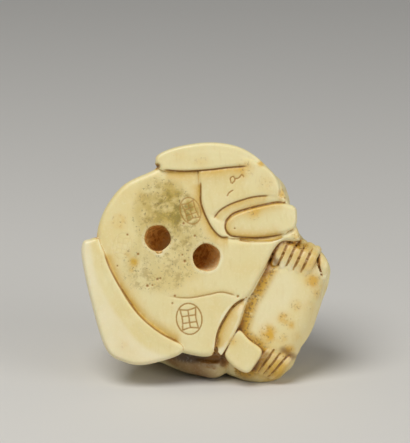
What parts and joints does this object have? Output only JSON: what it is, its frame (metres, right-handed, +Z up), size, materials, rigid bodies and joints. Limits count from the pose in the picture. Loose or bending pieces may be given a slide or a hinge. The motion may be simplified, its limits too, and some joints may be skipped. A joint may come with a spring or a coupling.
{
  "type": "netsuke",
  "caption": "Carved toggle for a sash cord: a robed man in a soft cap bows over a full sack and clasps its ends, with cord holes joined inside the flat underside.",
  "frame": {"origin": "centre of the bounding box on the surface it stands on", "axes": "+Z up as it stands on its edge; the underside with the cord holes faces -Y and leans back 15 degrees; +X is to the right seen from there, where the sack is"},
  "size_m": [0.0402, 0.0274, 0.0385],
  "materials": {
    "ivory": "aged ivory, worn to a soft polish, stained brown in the cuts"
  },
  "bodies": {
    "root": {"netsuke": "ivory"}
  },
  "joints": []
}
